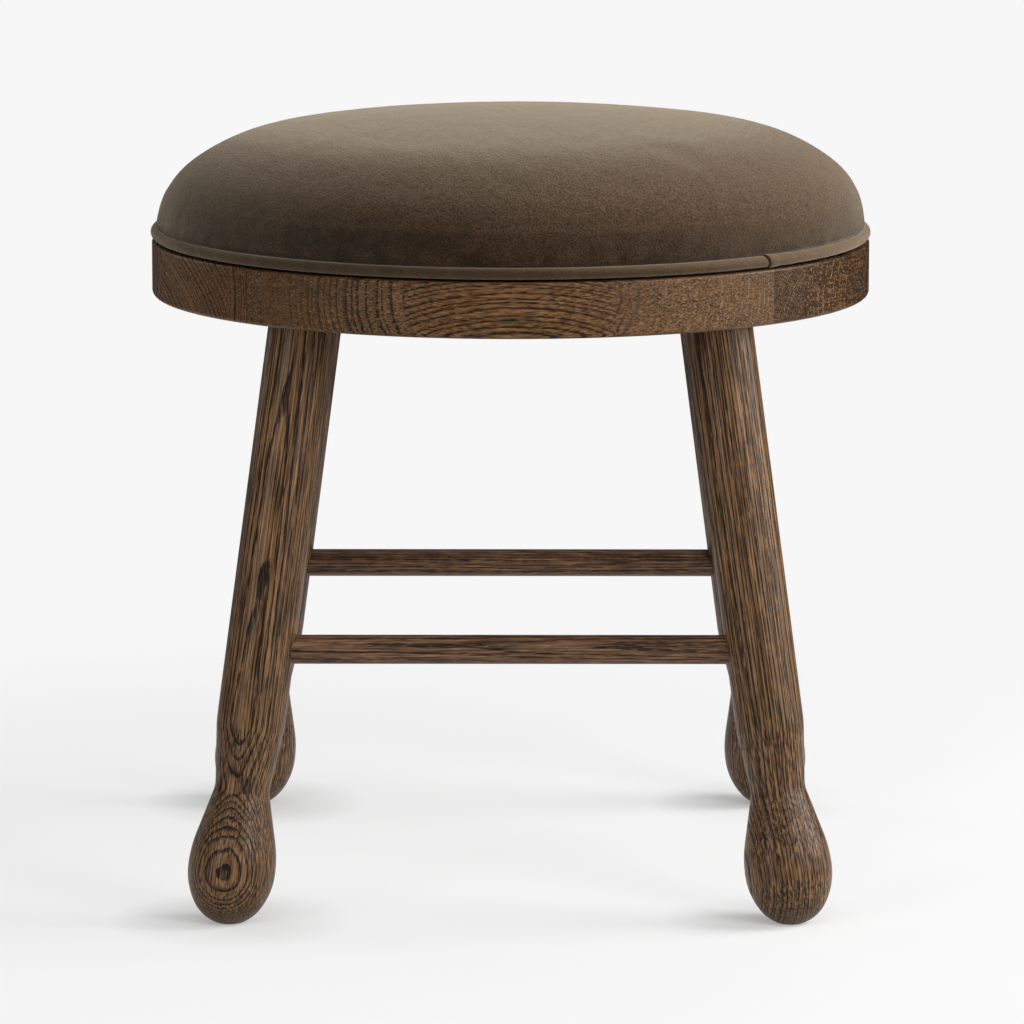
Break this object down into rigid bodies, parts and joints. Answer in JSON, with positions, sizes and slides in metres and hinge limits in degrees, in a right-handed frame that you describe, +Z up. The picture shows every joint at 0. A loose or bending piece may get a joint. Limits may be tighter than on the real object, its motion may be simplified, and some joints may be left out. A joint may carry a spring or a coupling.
{
  "type": "upholstered stool",
  "caption": "Round stool with a domed velvet pad piped at its edge, on a segmented oak apron and splayed turned legs with bulb feet and rod stretchers.",
  "frame": {"origin": "middle of the footprint, on the floor", "axes": "+Z up along the stool's axis, -Y towards the front pair of legs, +X to the right seen from the front"},
  "size_m": [0.4514, 0.4514, 0.4776],
  "materials": {
    "oak": "brown stained oak, satin oil",
    "beech": "raw beech",
    "plywood": "raw birch plywood",
    "steel": "zinc plated",
    "velvet": "taupe brown cotton velvet",
    "foam": "open-cell polyurethane foam",
    "wadding": "polyester wadding",
    "cord": "cotton piping cord",
    "dust_cloth": "black non-woven cloth"
  },
  "bodies": {
    "root": {"apron_back": "oak", "apron_dowels": "beech", "apron_front": "oak", "apron_left": "oak", "apron_right": "oak", "corner_block_back_left": "beech", "corner_block_back_right": "beech", "corner_block_front_left": "beech", "corner_block_front_right": "beech", "corner_block_screws": "steel", "dust_cover": "dust_cloth", "leg_back_left": "oak", "leg_back_right": "oak", "leg_front_left": "oak", "leg_front_right": "oak", "leg_wedges": "beech", "piping": "velvet", "piping_cord": "cord", "seat_board": "plywood", "seat_bolts": "steel", "seat_cover": "velvet", "seat_foam": "foam", "seat_tee_nuts": "steel", "seat_wadding": "wadding", "seat_washers": "steel", "staples": "steel", "stretcher_back": "oak", "stretcher_front": "oak", "under_band": "velvet"}
  },
  "joints": []
}
